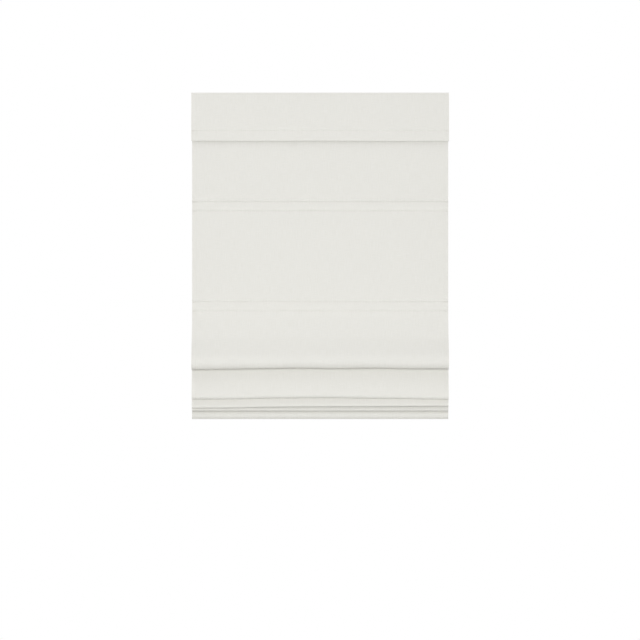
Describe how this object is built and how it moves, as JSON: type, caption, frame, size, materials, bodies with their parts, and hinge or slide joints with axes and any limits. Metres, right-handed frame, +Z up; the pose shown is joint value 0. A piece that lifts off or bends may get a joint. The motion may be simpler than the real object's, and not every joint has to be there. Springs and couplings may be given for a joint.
{
  "type": "roman blind",
  "caption": "Cordless flat-fold roman blind in off-white cloth with a valance, rod pockets and a sprung lift in its headrail, partly raised.",
  "frame": {"origin": "middle of the rectangle of four screw holes, in the plane of the ceiling that the two mounting plates screw up against", "axes": "+Z up, -Y towards the room, +X to the right as seen from the room"},
  "size_m": [0.688, 0.1208, 0.872],
  "materials": {
    "face_cloth": "off-white woven cloth with a lining",
    "enamelled_steel": "white stove enamel",
    "zinc_plated_steel": "bright zinc plate",
    "spring_steel": "blued spring strip",
    "white_moulding": "moulded, satin",
    "acetal_moulding": "natural acetal, moulded",
    "hook_tape": "white hook and loop tape",
    "glass_fibre_rod": "pultruded glass fibre",
    "vinyl_tip": "soft vinyl",
    "clear_ring": "clear moulded plastic",
    "lift_cord": "braided white cord"
  },
  "bodies": {
    "headrail": {"headrail": "enamelled_steel", "end_cap_right": "white_moulding", "end_cap_left": "white_moulding", "mounting_plate_right": "zinc_plated_steel", "mounting_plate_left": "zinc_plated_steel", "lever_rivets": "zinc_plated_steel", "hook_strip": "hook_tape", "loop_strip": "hook_tape", "spool_cradle_right": "acetal_moulding", "spool_cradle_left": "acetal_moulding", "lift_cord_right": "lift_cord", "lift_cord_left": "lift_cord", "motor_housing": "acetal_moulding", "motor_cover": "acetal_moulding", "motor_screws": "zinc_plated_steel", "storage_axle": "zinc_plated_steel", "power_spring": "spring_steel", "shade_cloth": "face_cloth", "valance_cloth": "face_cloth"},
    "lift_shaft": {"lift_shaft": "zinc_plated_steel", "shaft_end_caps": "acetal_moulding", "lift_spool_right": "acetal_moulding", "lift_spool_left": "acetal_moulding", "output_spool": "acetal_moulding"},
    "storage_spool": {"storage_spool": "acetal_moulding"},
    "swivel_lever_right": {"swivel_lever_right": "acetal_moulding"},
    "swivel_lever_left": {"swivel_lever_left": "acetal_moulding"},
    "rod_1": {"rod_1": "glass_fibre_rod", "rod_tips_1": "vinyl_tip", "rings_1": "clear_ring"},
    "rod_2": {"rod_2": "glass_fibre_rod", "rod_tips_2": "vinyl_tip", "rings_2": "clear_ring"},
    "rod_3": {"rod_3": "glass_fibre_rod", "rod_tips_3": "vinyl_tip", "rings_3": "clear_ring"},
    "rod_4": {"rod_4": "glass_fibre_rod", "rod_tips_4": "vinyl_tip", "rings_4": "clear_ring"},
    "rod_5": {"rod_5": "glass_fibre_rod", "rod_tips_5": "vinyl_tip", "rings_5": "clear_ring"},
    "rod_6": {"rod_6": "glass_fibre_rod", "rod_tips_6": "vinyl_tip", "rings_6": "clear_ring", "cord_stops": "clear_ring", "bottom_bar": "zinc_plated_steel", "bottom_bar_caps": "white_moulding"}
  },
  "joints": [
    {"name": "fold_1", "type": "slide", "parent": "headrail", "child": "rod_1", "axis": [0, 0, 1], "range_m": [0, 0.25], "deforming": ["shade_cloth", "lift_cord_right", "lift_cord_left"]},
    {"name": "fold_2", "type": "slide", "parent": "rod_1", "child": "rod_2", "axis": [0, 0, 1], "range_m": [0, 0.255], "deforming": ["shade_cloth", "lift_cord_right", "lift_cord_left"]},
    {"name": "fold_3", "type": "slide", "parent": "rod_2", "child": "rod_3", "axis": [0, 0, 1], "range_m": [-0.162, 0.092], "deforming": ["shade_cloth", "lift_cord_right", "lift_cord_left"]},
    {"name": "fold_4", "type": "slide", "parent": "rod_3", "child": "rod_4", "axis": [0, 0, 1], "range_m": [-0.234, 0.02], "deforming": ["shade_cloth", "lift_cord_right", "lift_cord_left"]},
    {"name": "fold_5", "type": "slide", "parent": "rod_4", "child": "rod_5", "axis": [0, 0, 1], "range_m": [-0.254, 0], "deforming": ["shade_cloth", "lift_cord_right", "lift_cord_left"]},
    {"name": "fold_6", "type": "slide", "parent": "rod_5", "child": "rod_6", "axis": [0, 0, 1], "range_m": [-0.254, 0], "deforming": ["shade_cloth", "lift_cord_right", "lift_cord_left"]},
    {"name": "lift_shaft_turn", "type": "hinge", "parent": "headrail", "child": "lift_shaft", "pos_m": [0, -0.006, -0.0205], "axis": [1, 0, 0], "continuous": true},
    {"name": "storage_spool_turn", "type": "hinge", "parent": "headrail", "child": "storage_spool", "pos_m": [0, 0.0132, -0.0205], "axis": [1, 0, 0], "continuous": true},
    {"name": "lever_turn_right", "type": "hinge", "parent": "headrail", "child": "swivel_lever_right", "pos_m": [0.277, 0, -0.003], "axis": [0, 0, 1], "range_deg": [0, 90]},
    {"name": "lever_turn_left", "type": "hinge", "parent": "headrail", "child": "swivel_lever_left", "pos_m": [-0.277, 0, -0.003], "axis": [0, 0, 1], "range_deg": [-90, 0]}
  ],
  "couplings": [
    {"joint": "storage_spool_turn", "follows": "lift_shaft_turn", "ratio": -1.0238}
  ]
}
